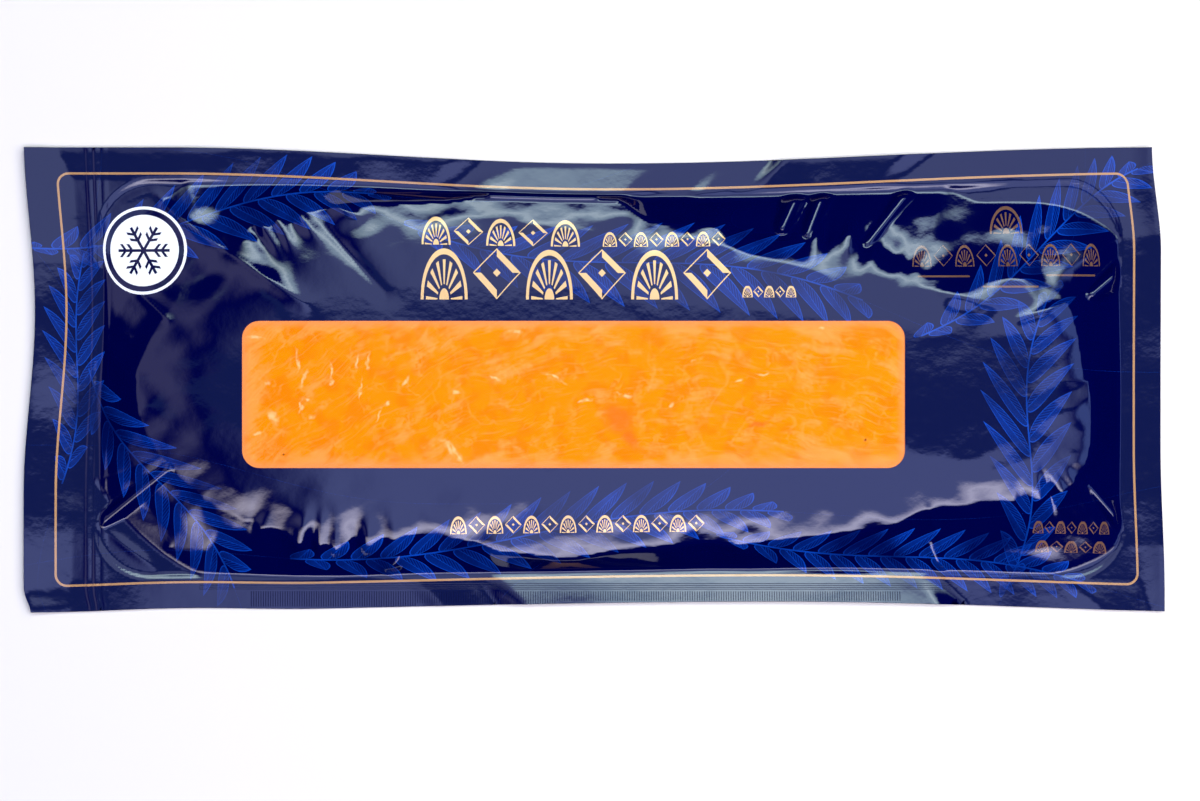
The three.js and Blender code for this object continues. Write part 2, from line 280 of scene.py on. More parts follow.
RELIEF_ROOM, STRAP_ROOM = 16, 5     # the room inside the seals that each takes to grow
RELIEF_FADE = 3                     # relief is full down to a third of the skirt
# How far inside the fish's edge the film turns down, along the two long sides.
TOP_SHOULDER = [
    (-80, 0), (-48, -3.5), (12, -3.5), (30, 6), (48, 5), (62, 3), (74, 10), (92, 9),
    (108, 6), (124, 2), (138, 1), (150, 7), (168, 4), (185, -1), (205, -4), (220, -4), (232, 0),
]
BOTTOM_SHOULDER = [
    (-172, 1), (-141, -2.5), (-110, -0.5), (-94, 3), (-63, 1), (-48, -4.5), (-17, -6.5),
    (14, -1), (58, 1.5), (76, -1.8), (107, -1.5), (154, -2.5), (169, 2), (200, 0), (216, -2),
]
TEETH = {"seed": 5, "waves": 6, "shortest": 8.0, "longest": 20.0}
TEETH_DEPTH, SHOULDER_REACH = 1.7, 12.0
TEETH_PLACES = [((-138, -79), 34), ((132, 66), 26), ((-160, 70), 18), ((232, -62), 18)]
LUMPS = {"seed": 20, "waves": 22, "shortest": 14.0, "longest": 95.0}
CROWN_LUMPS, SLOPE_LUMPS = 0.005, 0.05
CRUMPLE = {"seed": 8, "waves": 9, "shortest": 13.0, "longest": 52.0, "creased": True}
CRUMPLE_SLOPE, CRUMPLE_REACH = 0.03, 24.0
SEAM_RIDGES = [(-262.5, 0.3, 0.9), (-258.6, 0.42, 1.1), (-254.5, 0.25, 0.8), (280.5, 0.22, 0.9)]
print("folds:", len(FOLDS), "straps:", len(STRAPS))

# %% [markdown]
# ## From the plan to a height
#
# Each function below works on whole arrays of places at once. The last one adds up the
# form, the relief on it and the straps, for any place on the film.

# %% The height functions


def fold_heights(x, y):
    """Sharp crests that fade at both ends. A negative rise makes a valley."""
    height = np.zeros(x.shape)
    for start, end, rise, spread in FOLDS:
        along, away = by_line(x, y, start, end)
        fade = np.sin(np.pi * lerp(*FOLD_FADE, along))
        crest = np.exp(-(np.hypot(away, FOLD_ROUNDING) - FOLD_ROUNDING) / spread)
        height += rise * fade * crest
    return height


def strap_heights(x, y):
    """Roofs with a flat ridge that runs straight from the fish down to the seal."""
    height = np.zeros(x.shape)
    for (*start, high), (*end, low), half_width in STRAPS:
        along, away = by_line(x, y, start, end)
        away = np.maximum(away - half_width, 0)
        fall = STRAP_SIDE * (np.hypot(away, STRAP_ROUNDING) - STRAP_ROUNDING)
        height = np.maximum(height, lerp(high, low, along) - fall)
    return height


def wave_sum(settings, *coordinates):
    """Seeded sines of many lengths, each with the same slope, so long ones are tallest."""
    random = np.random.default_rng(settings["seed"])
    lengths = np.geomspace(settings["shortest"], settings["longest"], settings["waves"])
    total = np.zeros(coordinates[0].shape)
    for length in lengths:
        heading, phase = random.uniform(0, 2 * np.pi, 2)
        direction = (np.cos(heading), np.sin(heading)) if len(coordinates) == 2 else (1.0,)
        distance = sum(c * d for c, d in zip(coordinates, direction))
        wave = np.sin(2 * np.pi * distance / length + phase)
        if settings.get("creased"):
            wave = np.arcsin(0.98 * wave)
        total += length * wave
    return total / (2 * np.pi * math.sqrt(settings["waves"]))


def knots(a, points):
    """A height along the pack, given at a few places and eased between them."""
    places, heights = np.array(points, float).T
    after = np.clip(np.searchsorted(places, a), 1, len(places) - 1)
    share = smooth(places[after - 1], places[after], a)
    return lerp(heights[after - 1], heights[after], share)


def near_any(places, x, y):
    """Near 1 about any of the places, and 0 away from them all."""
    share = np.zeros(x.shape)
    for (there_x, there_y), reach in places:
        squared = ((x - there_x) / reach) ** 2 + ((y - there_y) / reach) ** 2
        share = np.maximum(share, np.exp(-squared))
    return share


def underside(a, b):
    """The pocket's rim curls up off the surface, and the seals outside it rise and fall."""
    at_rim = laid_out(np.clip(a, POCKET["left"], POCKET["right"]),
                      np.clip(b, POCKET["bottom"], POCKET["top"]))
    past_fish = -fish_distance(*at_rim)[0]
    rise = lerp(*RIM_RISES, smooth(*RIM_RISE_SPAN, b))
    rim = rise * np.clip(past_fish / RIM_REACH, 0, 1)
    sides = 0
    for side, outside in (("left", POCKET["left"] - a), ("right", a - POCKET["right"])):
        lift = SIDE_LIFTS[side]
        share = np.clip((outside - lift["start"]) / lift["reach"], 0, 1)
        sides = np.maximum(sides, lift["height"] * share**SIDE_LIFT_CURVE)
    above, below = b - POCKET["top"], POCKET["bottom"] - b
    slanted = a - FLANGE_SLANT * np.maximum(above, below)
    top = knots(slanted, TOP_RISES) * np.clip(above / FLANGE, 0, 1)
    fall = knots(slanted, TOP_FALLS) * np.clip(1 - above / FLANGE, 0, 1)
    top += fall * np.clip((above - TOP_FALL_START) / TOP_FALL_REACH, 0, 1)
    bottom = knots(slanted, BOTTOM_RISES) * np.clip(below / FLANGE, 0, 1)
    waves = FLANGE_WAVE_SLOPE * wave_sum(FLANGE_WAVES, a, b)
    outside_pocket = smooth(-2, 2, -inside_box(POCKET, a, b))
    gap = np.maximum(0, (FLANGE_GAP + waves) * outside_pocket)
    return rim + np.maximum(sides, top + bottom) + gap


def seams(a, b, in_pocket):
    """The small step up at the pocket's edge, and the ridges of the end welds."""
    step = SEAM_STEP * smooth(*SEAM_SPAN, in_pocket)
    ridges = sum(rise * np.exp(-(((a - place) / spread) ** 2))
                 for place, rise, spread in SEAM_RIDGES)
    return step + ridges


def topside(a, b, x, y):
    """The height of the printed face over the surface that the pack lies on."""
    in_pocket = inside_box(POCKET, a, b)
    in_fish, around = fish_distance(x, y)
    teeth = TEETH_DEPTH * wave_sum(TEETH, around) * near_any(TEETH_PLACES, x, y)
    inward = np.where(y > 0, knots(x, TOP_SHOULDER), knots(x, BOTTOM_SHOULDER))
    edge = in_fish + (teeth - inward) * np.exp(-((in_fish / SHOULDER_REACH) ** 2))
    crown_reach = knots(x, CROWN_REACHES)
    short_of_crown = np.clip(1 - edge / crown_reach, 0, 1)
    full = CROWN_HEIGHT - CROWN_SLOPE / 2 * crown_reach * short_of_crown**2
    full = full * lerp(TAIL_HEIGHT, 1, smooth(*TAIL_SPAN, x)) - 2 * FILM
    depth = np.maximum(in_pocket, 0)
    beyond = np.maximum(0, -edge)
    skirt = np.where(y > 0, SKIRT, knots(x, LOWER_SKIRTS))
    reach = np.minimum(depth + beyond, skirt)
    tent = np.clip(1 - beyond / np.maximum(reach, 1e-6), 0, 1)
    off_crown = smooth(crown_reach, 0, edge)
    near_shoulder = np.exp(-((in_fish / CRUMPLE_REACH) ** 2))
    relief = lerp(CROWN_LUMPS, SLOPE_LUMPS, off_crown) * wave_sum(LUMPS, x, y)
    relief += CRUMPLE_SLOPE * near_shoulder * wave_sum(CRUMPLE, x, y)
    relief = relief * np.clip(RELIEF_FADE * tent, 0, 1) + fold_heights(x, y)
    filled = np.maximum(0, full * tent + relief * smooth(0, RELIEF_ROOM, in_pocket))
    filled = np.maximum(filled, strap_heights(x, y) * smooth(0, STRAP_ROOM, in_pocket))
    low = underside(a, b) + seams(a, b, in_pocket)
    return low + 2 * FILM + filled * (in_pocket > 0)


middle = [np.zeros((1, 1))] * 4
print("printed face over the middle of the fish:", round(topside(*middle).item(), 2), "mm")

# %% [markdown]
# ## The skin of film
#
# The skin is one closed mesh. Its printed face is a fine grid, a cell every 1.3 mm,
# because the folds show only in the gloss. The outermost cell is a narrow one, so that
# the smooth shading does not bend the seal over towards the cut edge. The back has a
# quarter of the rows and columns, and its outer cells take in all the points of the
# fine rim, so that the two are joined without a gap. Each point carries its place on
# the flat film as an attribute, which the print reads.

# %% Build the pouch
FINE_X, FINE_Y = 448, 184
COARSE = 4
RIM_CELL = 0.2


def film_grid():
    """Even rows and columns, but for a narrow one at the rim that keeps its shading flat."""
    a = np.linspace(-PACK_LENGTH / 2, PACK_LENGTH / 2, FINE_X + 1)
    b = np.linspace(-PACK_WIDTH / 2, PACK_WIDTH / 2, FINE_Y + 1)
    for places in (a, b):
        places[1], places[-2] = places[0] + RIM_CELL, places[-1] - RIM_CELL
    return np.meshgrid(a, b)


def placed(name, data):
    """An object in the scene that holds the data."""
    piece = bpy.data.objects.new(name, data)
    bpy.context.scene.collection.objects.link(piece)
    return piece


def finished(name, vertices, faces, smooth_shaded=True):
    """A mesh object at the origin, from points in millimetres."""
    mesh = bpy.data.meshes.new(name)
    mesh.from_pydata((np.asarray(vertices) * MM).tolist(), [], faces)
    mesh.validate()
    mesh.polygons.foreach_set("use_smooth", [smooth_shaded] * len(mesh.polygons))
    return placed(name, mesh)


def build_pouch():
    a, b = film_grid()
    x, y = laid_out(a, b)
    top = topside(a, b, x, y)
    low = underside(a, b)
    front = np.stack([x, y, top], axis=-1).reshape(-1, 3)
    columns = FINE_X + 1

    def fine(i, j):
        return j * columns + i

    faces = []
    for j in range(FINE_Y):
        for i in range(FINE_X):
            faces.append((fine(i, j), fine(i + 1, j), fine(i + 1, j + 1), fine(i, j + 1)))
    front_faces = len(faces)

    vertices = front.tolist()
    flat = np.stack([a, b, np.zeros_like(a)], axis=-1).reshape(-1, 3).tolist()
    back = {}
    for j in range(0, FINE_Y + 1, COARSE):
        for i in range(0, FINE_X + 1, COARSE):
            if 0 < i < FINE_X and 0 < j < FINE_Y:
                back[i, j] = len(vertices)
                vertices.append((x[j, i], y[j, i], low[j, i]))
                flat.append((a[j, i], b[j, i], 0.0))

    def rim_or_back(i, j):
        return back.get((i, j), fine(i, j))

    for j in range(0, FINE_Y, COARSE):
        for i in range(0, FINE_X, COARSE):
            south = range(i, i + COARSE) if j == 0 else [i]
            east = range(j, j + COARSE) if i + COARSE == FINE_X else [j]
            north = range(i + COARSE, i, -1) if j + COARSE == FINE_Y else [i + COARSE]
            west = range(j + COARSE, j, -1) if i == 0 else [j + COARSE]
            ring = [rim_or_back(k, j) for k in south]
            ring += [rim_or_back(i + COARSE, k) for k in east]
            ring += [rim_or_back(k, j + COARSE) for k in north]
            ring += [rim_or_back(i, k) for k in west]
            faces.append(tuple(reversed(ring)))

    pouch = finished("film_pouch", vertices, faces)
    place = pouch.data.attributes.new("film", "FLOAT_VECTOR", "POINT")
    place.data.foreach_set("vector", np.array(flat, np.float32).ravel())
    slots = np.zeros(len(faces), np.int32)
    slots[front_faces:] = 1
    pouch.data.polygons.foreach_set("material_index", slots)
    return pouch


pouch = build_pouch()
print("pouch:", len(pouch.data.vertices), "points,", len(pouch.data.polygons), "faces")

# %% [markdown]
# ## The side of salmon
#
# The fish is a slab that fills the pocket. Rings that shrink from its outline to its
# middle make the top. Its height is the film's own less a hair, because the vacuum holds
# the two together. Below the shoulder its sides swell a little and turn in again.

# %% Build the fish
FISH_RINGS = 60
FISH_SIDE = 6.0
FISH_MIDDLE = (10.0, -2.0)
SKIN_CLEARANCE, EDGE_CLEARANCE, CLEARANCE_REACH = 0.4, 1.4, 14
UNDER_FISH = 0.3
SEAL_CLEARANCE, LEAST_SIDE = 3, 0.5
SIDE_LEVELS = [(0.35, 0.82), (0.8, 0.5), (1.0, 0.2), (0.75, 0.0)]   # shares: outwards, of height


def build_salmon():
    outline = closed_spline(FISH_OUTLINE, 22)
    count = len(outline)
    room = inside_box(POCKET, *flattened(*outline.T))
    side = np.clip(room - SEAL_CLEARANCE, LEAST_SIDE, FISH_SIDE)[:, None]
    spokes = outline - FISH_MIDDLE
    shares = np.linspace(1, 0, FISH_RINGS + 1)[:-1]
    plan = np.concatenate([FISH_MIDDLE + spokes * share for share in shares] + [[FISH_MIDDLE]])
    x, y = plan.T
    in_fish, _ = fish_distance(x, y)
    clearance = lerp(EDGE_CLEARANCE, SKIN_CLEARANCE, smooth(0, CLEARANCE_REACH, in_fish))
    top = topside(*flattened(x, y), x, y) - clearance
    vertices = np.column_stack([plan, top]).tolist()

    outward = spokes / np.linalg.norm(spokes, axis=1)[:, None]
    for spread, height in SIDE_LEVELS:
        x, y = (outline + outward * side * spread).T
        under_film = topside(*flattened(x, y), x, y) - EDGE_CLEARANCE
        level = np.minimum(lerp(FILM + UNDER_FISH, top[:count], height), under_film)
        vertices += np.column_stack([x, y, np.maximum(level, FILM)]).tolist()

    def band(outer, inner):
        return [(outer + k, outer + (k + 1) % count, inner + (k + 1) % count, inner + k)
                for k in range(count)]

    faces = []
    for r in range(FISH_RINGS - 1):
        faces += band(r * count, (r + 1) * count)
    last, middle = (FISH_RINGS - 1) * count, FISH_RINGS * count
    faces += [(last + k, last + (k + 1) % count, middle) for k in range(count)]
    below = 0
    for level in range(len(SIDE_LEVELS)):
        lower = middle + 1 + level * count
        faces += band(lower, below)
        below = lower
    faces.append(tuple(reversed(range(below, below + count))))
    return finished("salmon_side", vertices, faces)


salmon = build_salmon()
salmon_box = [min(v.co.z for v in salmon.data.vertices), max(v.co.z for v in salmon.data.vertices)]
print("salmon:", len(salmon.data.polygons), "faces, z", salmon_box)

# %% [markdown]
# ## The ribs of the bottom seal
#
# The bottom seal was welded between serrated jaws, which leave fine upright ribs across
# it and a few long ones above them. Geometry Nodes make them: a line of points at the
# rib's pitch, a short line at each, every point of it dropped onto the film by a ray, and
# a thin profile swept along. The same tree with other inputs makes the long ribs.

# %% One tree for all the ribs


def add(tree, kind, *inputs, **settings):
    """Adds a node, of a kind that may name its operation too, such as "Math ADD".

    Inputs are values, or nodes or sockets to link. None leaves one as it is.
    """
    kind, *operation = kind.split()
    prefix = {"GeometryNodeTree": "GeometryNode", "ShaderNodeTree": "ShaderNode"}[tree.bl_idname]
    full_name = kind.startswith(("NodeGroup", "FunctionNode", "ShaderNode", "GeometryNode"))
    node = tree.nodes.new(kind if full_name else prefix + kind)
    if operation:
        node.operation = operation[0]
    named = settings.pop("inputs", {})
    for setting, value in settings.items():
        setattr(node, setting, value)
    for key, value in [*enumerate(inputs), *named.items()]:
        if value is None:
            continue
        if isinstance(value, bpy.types.Node):
            value = value.outputs[0]
        if isinstance(value, bpy.types.NodeSocket):
            tree.links.new(value, node.inputs[key])
        else:
            node.inputs[key].default_value = value
    return node


def steps(tree, value, *operations):
    """A chain of Math nodes. Each operation is its name and what it takes beside the value."""
    for operation, *operands in operations:
        value = add(tree, "Math " + operation, value, *operands)
    return value


def either(tree, *masks):
    return steps(tree, masks[0], *[("MAXIMUM", mask) for mask in masks[1:]])


SOCKET_TYPES = {float: "Float", int: "Int", tuple: "Vector"}


def named_sockets(tree, inputs, outputs, kind_out="Float"):
    """Gives a tree its inputs, each by its default or by its type's name, and its outputs."""
    for name, default in inputs.items():
        kind = SOCKET_TYPES.get(type(default), default)
        socket = tree.interface.new_socket(name, in_out="INPUT", socket_type="NodeSocket" + kind)
        if kind != default:
            socket.default_value = default
    for name in outputs:
        tree.interface.new_socket(name, in_out="OUTPUT", socket_type="NodeSocket" + kind_out)


def rib_tree():
    tree = bpy.data.node_groups.new("ribs_on_film", "GeometryNodeTree")
    named_sockets(tree, {
        "Film": "Object",
        "Start": (0, 0, 0),
        "Step": (1, 0, 0),
        "Count": 10,
        "Along": (0, 1, 0),
        "Points": 6,
        "Radius": 0.1,
        "Finish": "Material",
    }, ["Geometry"], "Geometry")
    given = add(tree, "NodeGroupInput").outputs
    film = add(tree, "ObjectInfo", given["Film"], transform_space="RELATIVE").outputs["Geometry"]
    places = add(tree, "MeshLine", given["Count"], None, given["Start"], given["Step"])
    rib = add(tree, "CurvePrimitiveLine", None, given["Along"])
    ribs = add(tree, "InstanceOnPoints", places, None, rib)
    loose = add(tree, "RealizeInstances", ribs)
    fine = add(tree, "ResampleCurve", loose, None, given["Points"])
    here = add(tree, "InputPosition")
    above = add(tree, "ShaderNodeVectorMath ADD", here, (0, 0, 0.1))
    dropped = add(tree, "Raycast", film, inputs={
        "Source Position": above.outputs[0], "Ray Direction": (0, 0, -1), "Ray Length": 1.0})
    missed = add(tree, "FunctionNodeBooleanMath NOT", dropped.outputs["Is Hit"])
    over_film = add(tree, "DeleteGeometry", fine, missed)
    laid = add(tree, "SetPosition", over_film, None, dropped.outputs["Hit Position"])
    profile = add(tree, "CurvePrimitiveCircle", 5, inputs={"Radius": given["Radius"]})
    swept = add(tree, "CurveToMesh", laid, profile, True)
    plan = add(tree, "InputNamedAttribute", "film", data_type="FLOAT_VECTOR")
    nearest = add(tree, "SampleNearestSurface", film, plan, data_type="FLOAT_VECTOR")
    printed = add(tree, "StoreNamedAttribute", swept, None, "film", nearest,
                  data_type="FLOAT_VECTOR")
    real = add(tree, "RealizeInstances", printed)
    done = add(tree, "SetMaterial", real, None, given["Finish"])
    add(tree, "NodeGroupOutput", done)
    return tree


RIBS_ON_FILM = rib_tree()
print("rib tree:", len(RIBS_ON_FILM.nodes), "nodes")

# %% [markdown]
# ## Colours and shared shader parts
#
# Colours are given as the sRGB hex values that a colour picker shows, and one function
# turns them to the linear values that the shaders work in. The print is made of plane
# figures measured in millimetres on the flat film, so the first shared part gives the
# distance to a rounded box: the frame line, the window and the rules are all cut from it.

# %% Colour and the rounded box


def colour(hex_value):
    """An sRGB hex value as a linear colour."""
    channels = [int(hex_value[i:i + 2], 16) / 255 for i in (1, 3, 5)]
    linear = [c / 12.92 if c <= 0.04045 else ((c + 0.055) / 1.055) ** 2.4 for c in channels]
    return (*linear, 1.0)


def shader_group(name, inputs, outputs):
    tree = bpy.data.node_groups.new(name, "ShaderNodeTree")
    named_sockets(tree, inputs, outputs)
    return tree, add(tree, "NodeGroupInput").outputs


# Settings that the nodes below share.
EASED = {"interpolation_type": "SMOOTHSTEP"}
ABOUT_Z = {"rotation_type": "Z_AXIS"}


def cleared_tree(owner):
    """The empty node tree of a new material or world."""
    owner.use_nodes = True
    owner.node_tree.nodes.clear()
    return owner.node_tree


def figure(tree, group, place, middle, *sizes):
    """One of the shared figures, laid with its middle at a place of the plan."""
    return add(tree, "Group", place, (*middle, 0), *sizes, node_tree=group)


def tinted(tree, base, mask, tint):
    """The base colour with another over it, as far as the mask goes. Hex values or sockets."""
    shades = [colour(c) if isinstance(c, str) else c for c in (base, tint)]
    mixed = add(tree, "Mix", mask, data_type="RGBA", inputs=dict(zip((6, 7), shades)))
    return mixed.outputs[2]


def rounded_box_group():
    tree, given = shader_group("rounded_box", {
        "Place": (0, 0, 0),
        "Middle": (0, 0, 0),
        "Straight Half": (10, 10, 0),
        "Radius": 1.0,
    }, ["Distance"])
    moved = add(tree, "VectorMath SUBTRACT", given["Place"], given["Middle"])
    folded = add(tree, "VectorMath ABSOLUTE", moved)
    beyond = add(tree, "VectorMath SUBTRACT", folded, given["Straight Half"])
    outer = add(tree, "VectorMath MAXIMUM", beyond, (0, 0, 0))
    corner = add(tree, "VectorMath LENGTH", outer).outputs["Value"]
    parts = add(tree, "SeparateXYZ", beyond).outputs
    inner = steps(tree, parts["X"], ("MAXIMUM", parts["Y"]), ("MINIMUM", 0.0))
    distance = steps(tree, corner, ("ADD", inner), ("SUBTRACT", given["Radius"]))
    add(tree, "NodeGroupOutput", distance)
    return tree


ROUNDED_BOX = rounded_box_group()
print("half grey in linear light:", round(colour("#808080")[0], 4))

# %% [markdown]
# ## The gold ornament
#
# Where a pack carries its title, this one has bands of ornament in gold ink: fans and
# lozenges in turn, with the thick and thin strokes of an engraver's border. One group
# draws a band of any size, so the title's rows, the small lines and the crest are the
# same figure at other sizes.

# %% A band of fans and lozenges


def ornament_band_group():
    tree, given = shader_group("ornament_band", {
        "Place": (0, 0, 0),
        "Middle": (0, 0, 0),
        "Half Length": 10.0,
        "Half Height": 3.0,
        "Units": 6.0,
        "Thin": 0.12,
        "Thick": 0.34,
    }, ["Ink"])
    local = add(tree, "VectorMath SUBTRACT", given["Place"], given["Middle"])
    x, y, _ = add(tree, "SeparateXYZ", local).outputs
    share = add(tree, "Math DIVIDE", x, given["Half Length"])
    level = add(tree, "Math DIVIDE", y, given["Half Height"])
    halves = add(tree, "Math MULTIPLY", given["Units"], 0.5)
    unit = add(tree, "Math MULTIPLY_ADD", share, halves, halves)
    number = add(tree, "Math FLOOR", unit)
    odd = add(tree, "Math FLOORED_MODULO", number, 2.0)
    across = steps(tree, unit, ("SUBTRACT", number), ("MULTIPLY_ADD", 2.2, -1.1))
    wide = add(tree, "Math ABSOLUTE", across)
    high = add(tree, "Math ABSOLUTE", level)

    # the lozenge: thick strokes where its sides rise, thin where they fall, and a heart
    rising = steps(tree, across, ("MULTIPLY", level), ("GREATER_THAN", 0.0))
    stroke = add(tree, "Mix", rising, inputs={2: given["Thin"], 3: given["Thick"]})
    size = add(tree, "Math ADD", wide, high)
    depth = add(tree, "Math SUBTRACT", 1.0, size)
    line_middle = add(tree, "Math MULTIPLY", stroke, 0.5)
    outline = add(tree, "Math COMPARE", depth, line_middle, line_middle)
    heart = add(tree, "Math LESS_THAN", size, 0.16)
    lozenge = either(tree, outline, heart)

    # the fan: a rim, a hub and ribs between them, about the middle of its foot
    foot = add(tree, "Math MULTIPLY_ADD", level, 0.5, 0.5)
    arm = add(tree, "CombineXYZ", across, foot)
    radius = add(tree, "VectorMath LENGTH", arm).outputs["Value"]
    rim = add(tree, "Math COMPARE", radius, 0.92, given["Thin"])
    hub = add(tree, "Math LESS_THAN", radius, 0.2)
    turns = steps(tree, across, ("ARCTAN2", foot), ("MULTIPLY", 2.55))
    nearest = add(tree, "Math ROUND", turns)
    rib = steps(tree, turns, ("SUBTRACT", nearest), ("ABSOLUTE",), ("LESS_THAN", 0.2))
    rib_span = add(tree, "Math COMPARE", radius, 0.52, 0.24)
    ribs = add(tree, "Math MULTIPLY", rib, rib_span)
    fan = either(tree, rim, hub, ribs)

    figure = add(tree, "Mix", odd, inputs={2: fan.outputs[0], 3: lozenge.outputs[0]})
    in_length = add(tree, "Math COMPARE", share, 0.0, 1.0)
    in_height = add(tree, "Math COMPARE", level, 0.0, 1.0)
    inside = add(tree, "Math MULTIPLY", in_length, in_height)
    ink = add(tree, "Math MULTIPLY", figure, inside)
    add(tree, "NodeGroupOutput", ink)
    return tree


ORNAMENT_BAND = ornament_band_group()
print("ornament band:", len(ORNAMENT_BAND.nodes), "nodes")

# %% [markdown]
# ## The engraved seaweed
#
# Behind the gold the film carries sprays of seaweed in two blues, drawn as an engraver
# cuts them: an outline, a midrib and close hatching. A spray is one figure. Its stem
# sways along its length, and its blades are the cells of a slanted pattern that repeats
# along the stem, each as long as the spray is wide there.

# %% A spray of blades


def engraved_spray_group():
    tree, given = shader_group("engraved_spray", {
        "Place": (0, 0, 0),
        "Middle": (0, 0, 0),
        "Turn": 0.0,
        "Half Length": 100.0,
        "Blade": 25.0,
        "Pitch": 14.0,
        "Sway": 6.0,
    }, ["Fill", "Line"])
    moved = add(tree, "VectorMath SUBTRACT", given["Place"], given["Middle"])
    local = add(tree, "VectorRotate", moved, inputs={"Angle": given["Turn"]}, **ABOUT_Z)
    s, t, _ = add(tree, "SeparateXYZ", local).outputs
    share = add(tree, "Math DIVIDE", s, given["Half Length"])
    bend = steps(tree, share, ("MULTIPLY", 2.7), ("SINE",), ("MULTIPLY", given["Sway"]))
    off = add(tree, "Math SUBTRACT", t, bend)
    out = add(tree, "Math ABSOLUTE", off)
    side = add(tree, "Math SIGN", off)

    # which blade this is, and how far off its midrib; the two sides' blades alternate
    swept = add(tree, "Math MULTIPLY", out, 1.15)
    along = add(tree, "Math SUBTRACT", s, swept)
    cell = add(tree, "Math DIVIDE", along, given["Pitch"])
    cell = add(tree, "Math MULTIPLY_ADD", side, 0.25, cell)
    number = add(tree, "Math ROUND", cell)
    off_rib = steps(tree, cell, ("SUBTRACT", number), ("MULTIPLY", given["Pitch"]), ("ABSOLUTE",))

    # how long the blade is, and how wide it is this far out
    root = steps(tree, number, ("MULTIPLY", given["Pitch"]), ("DIVIDE", given["Half Length"]))
    squared = add(tree, "Math MULTIPLY", root, root)
    room = add(tree, "Math SUBTRACT", 1.0, squared)
    reach = steps(tree, room, ("MAXIMUM", 0.0001), ("POWER", 0.6), ("MULTIPLY", given["Blade"]))
    up = add(tree, "Math DIVIDE", out, reach)
    rest = add(tree, "Math SUBTRACT", 1.0, up)
    rest = add(tree, "Math MAXIMUM", rest, 0.0)
    edge = steps(tree, up, ("POWER", 0.5), ("MULTIPLY", rest), ("MULTIPLY", given["Pitch"]),
                 ("SUBTRACT", off_rib))

    inside = add(tree, "Math GREATER_THAN", edge, 0.0)
    outline = add(tree, "Math COMPARE", edge, 0.2, 0.3)
    on_blade = add(tree, "Math GREATER_THAN", rest, 0.0)
    outline = add(tree, "Math MULTIPLY", outline, on_blade)
    midrib = steps(tree, off_rib, ("LESS_THAN", 0.22), ("MULTIPLY", on_blade))
    hatch = steps(tree, off_rib, ("MULTIPLY_ADD", 1.3, out), ("MULTIPLY", 0.62), ("FRACT",),
                  ("LESS_THAN", 0.34), ("MULTIPLY", inside), ("MULTIPLY", 0.55))
    stem = add(tree, "Math LESS_THAN", out, 0.4)
    in_stem = add(tree, "Math COMPARE", share, 0.0, 1.0)
    stem = add(tree, "Math MULTIPLY", stem, in_stem)
    line = either(tree, outline, midrib, stem, hatch)
    fill = steps(tree, up, ("MULTIPLY_ADD", 0.7, 0.3), ("MULTIPLY", inside))
    add(tree, "NodeGroupOutput", fill, line)
    return tree


ENGRAVED_SPRAY = engraved_spray_group()
print("engraved spray:", len(ENGRAVED_SPRAY.nodes), "nodes")

# %% [markdown]
# ## Printed laminate
#
# The pouch is polyester laminated to polyethylene, reverse-printed: the ink lies under
# the outer film. So every colour shares one clear, hard gloss, which a coat over the
# base gives, and gold ink is a metal seen through it. The navy is nearly black where
# nothing bright is mirrored in it. Inside the window the film carries no ink: there the
# shader lets the light through and keeps only the film's own reflection, by Fresnel.
# First the layout: where each figure is, and how large.

# %% The print's layout, in millimetres on the flat film
NAVY, DEEP_BLUE, LINE_BLUE = "#00023a", "#03247a", "#0a44ae"
BACK_NAVY, BACK_BLUE = "#000236", "#04054e"
# The frame line's and the crest's colours are the one gold ink painted darker: painted shade, as
# the two look where the film mirrors little.
GOLD, SHADED_FRAME_GOLD, SHADED_CREST_GOLD, WHITE = "#eec07c", "#bc8a58", "#7a5644", "#ffffff"
FRAME_LINE = {"left": -279.3, "right": 281.8, "bottom": -107.0, "top": 107.0, "radius": 6.0}
FRAME_LINE_WIDTH = 1.15
WINDOW = {"left": -181.4, "right": 159.8, "bottom": -45.5, "top": 30.3, "radius": 9.0}
SPRAYS = [
    # middle, turn in degrees, half length, blade, pitch, sway
    ((-205, 84), 8, 92, 22, 15, 7), ((20, 62), -12, 120, 26, 16, 9),
    ((228, 66), 34, 74, 20, 14, 6), ((224, -34), 80, 78, 24, 15, 8),
    ((-30, -82), 4, 128, 20, 15, 7), ((-226, -52), -58, 70, 22, 14, 6),
    ((160, -96), -8, 96, 17, 13, 5), ((-272, 6), 84, 60, 18, 13, 5),
]
GOLD_BANDS = [
    # middle, half length, half height, units, thin, thick
    ((-48.2, 80.2), 41.6, 8.3, 5, 0.07, 0.3), ((-9.6, 55.8), 81.2, 14.5, 6, 0.06, 0.34),
    ((36.0, 76.5), 32.0, 4.6, 8, 0.09, 0.3), ((90.0, 45.4), 14.0, 3.0, 5, 0.12, 0.4),
    ((-8.8, -76.8), 66.0, 5.0, 14, 0.08, 0.3),
]
# The crest's bands and rules are printed in the gold painted darker: painted shade.
SHADED_CREST_BANDS = [
    ((213.0, 84.0), 9.5, 7.6, 1, 0.06, 0.2), ((213.4, 64.8), 50.0, 6.0, 9, 0.06, 0.14),
    ((247.0, -77.5), 20.5, 3.4, 7, 0.12, 0.3), ((247.0, -88.0), 19.0, 3.2, 5, 0.12, 0.3),
]
RULE_HALF_WIDTH = 0.5
SHADED_CREST_RULES = [((180.0, 53.5), 13.0), ((246.5, 54.0), 13.0), ((214.5, 48.0), 14.0)]
BADGE = {"middle": (-233.6, 67.0), "outer": 22.9, "ring_in": 21.4, "disc": 18.6}
CRYSTAL = {"arm": 13.8, "arm_width": 1.5, "slant": -0.75, "twig": 3.4, "twig_half": 0.8,
           "twig_roots": (6.0, 9.6)}


def boxed(tree, place, box):
    """The distance node to one of the layout's boxes."""
    middle, halves = middle_and_halves(box)
    return figure(tree, ROUNDED_BOX, place, middle, (*halves, 0), box["radius"])


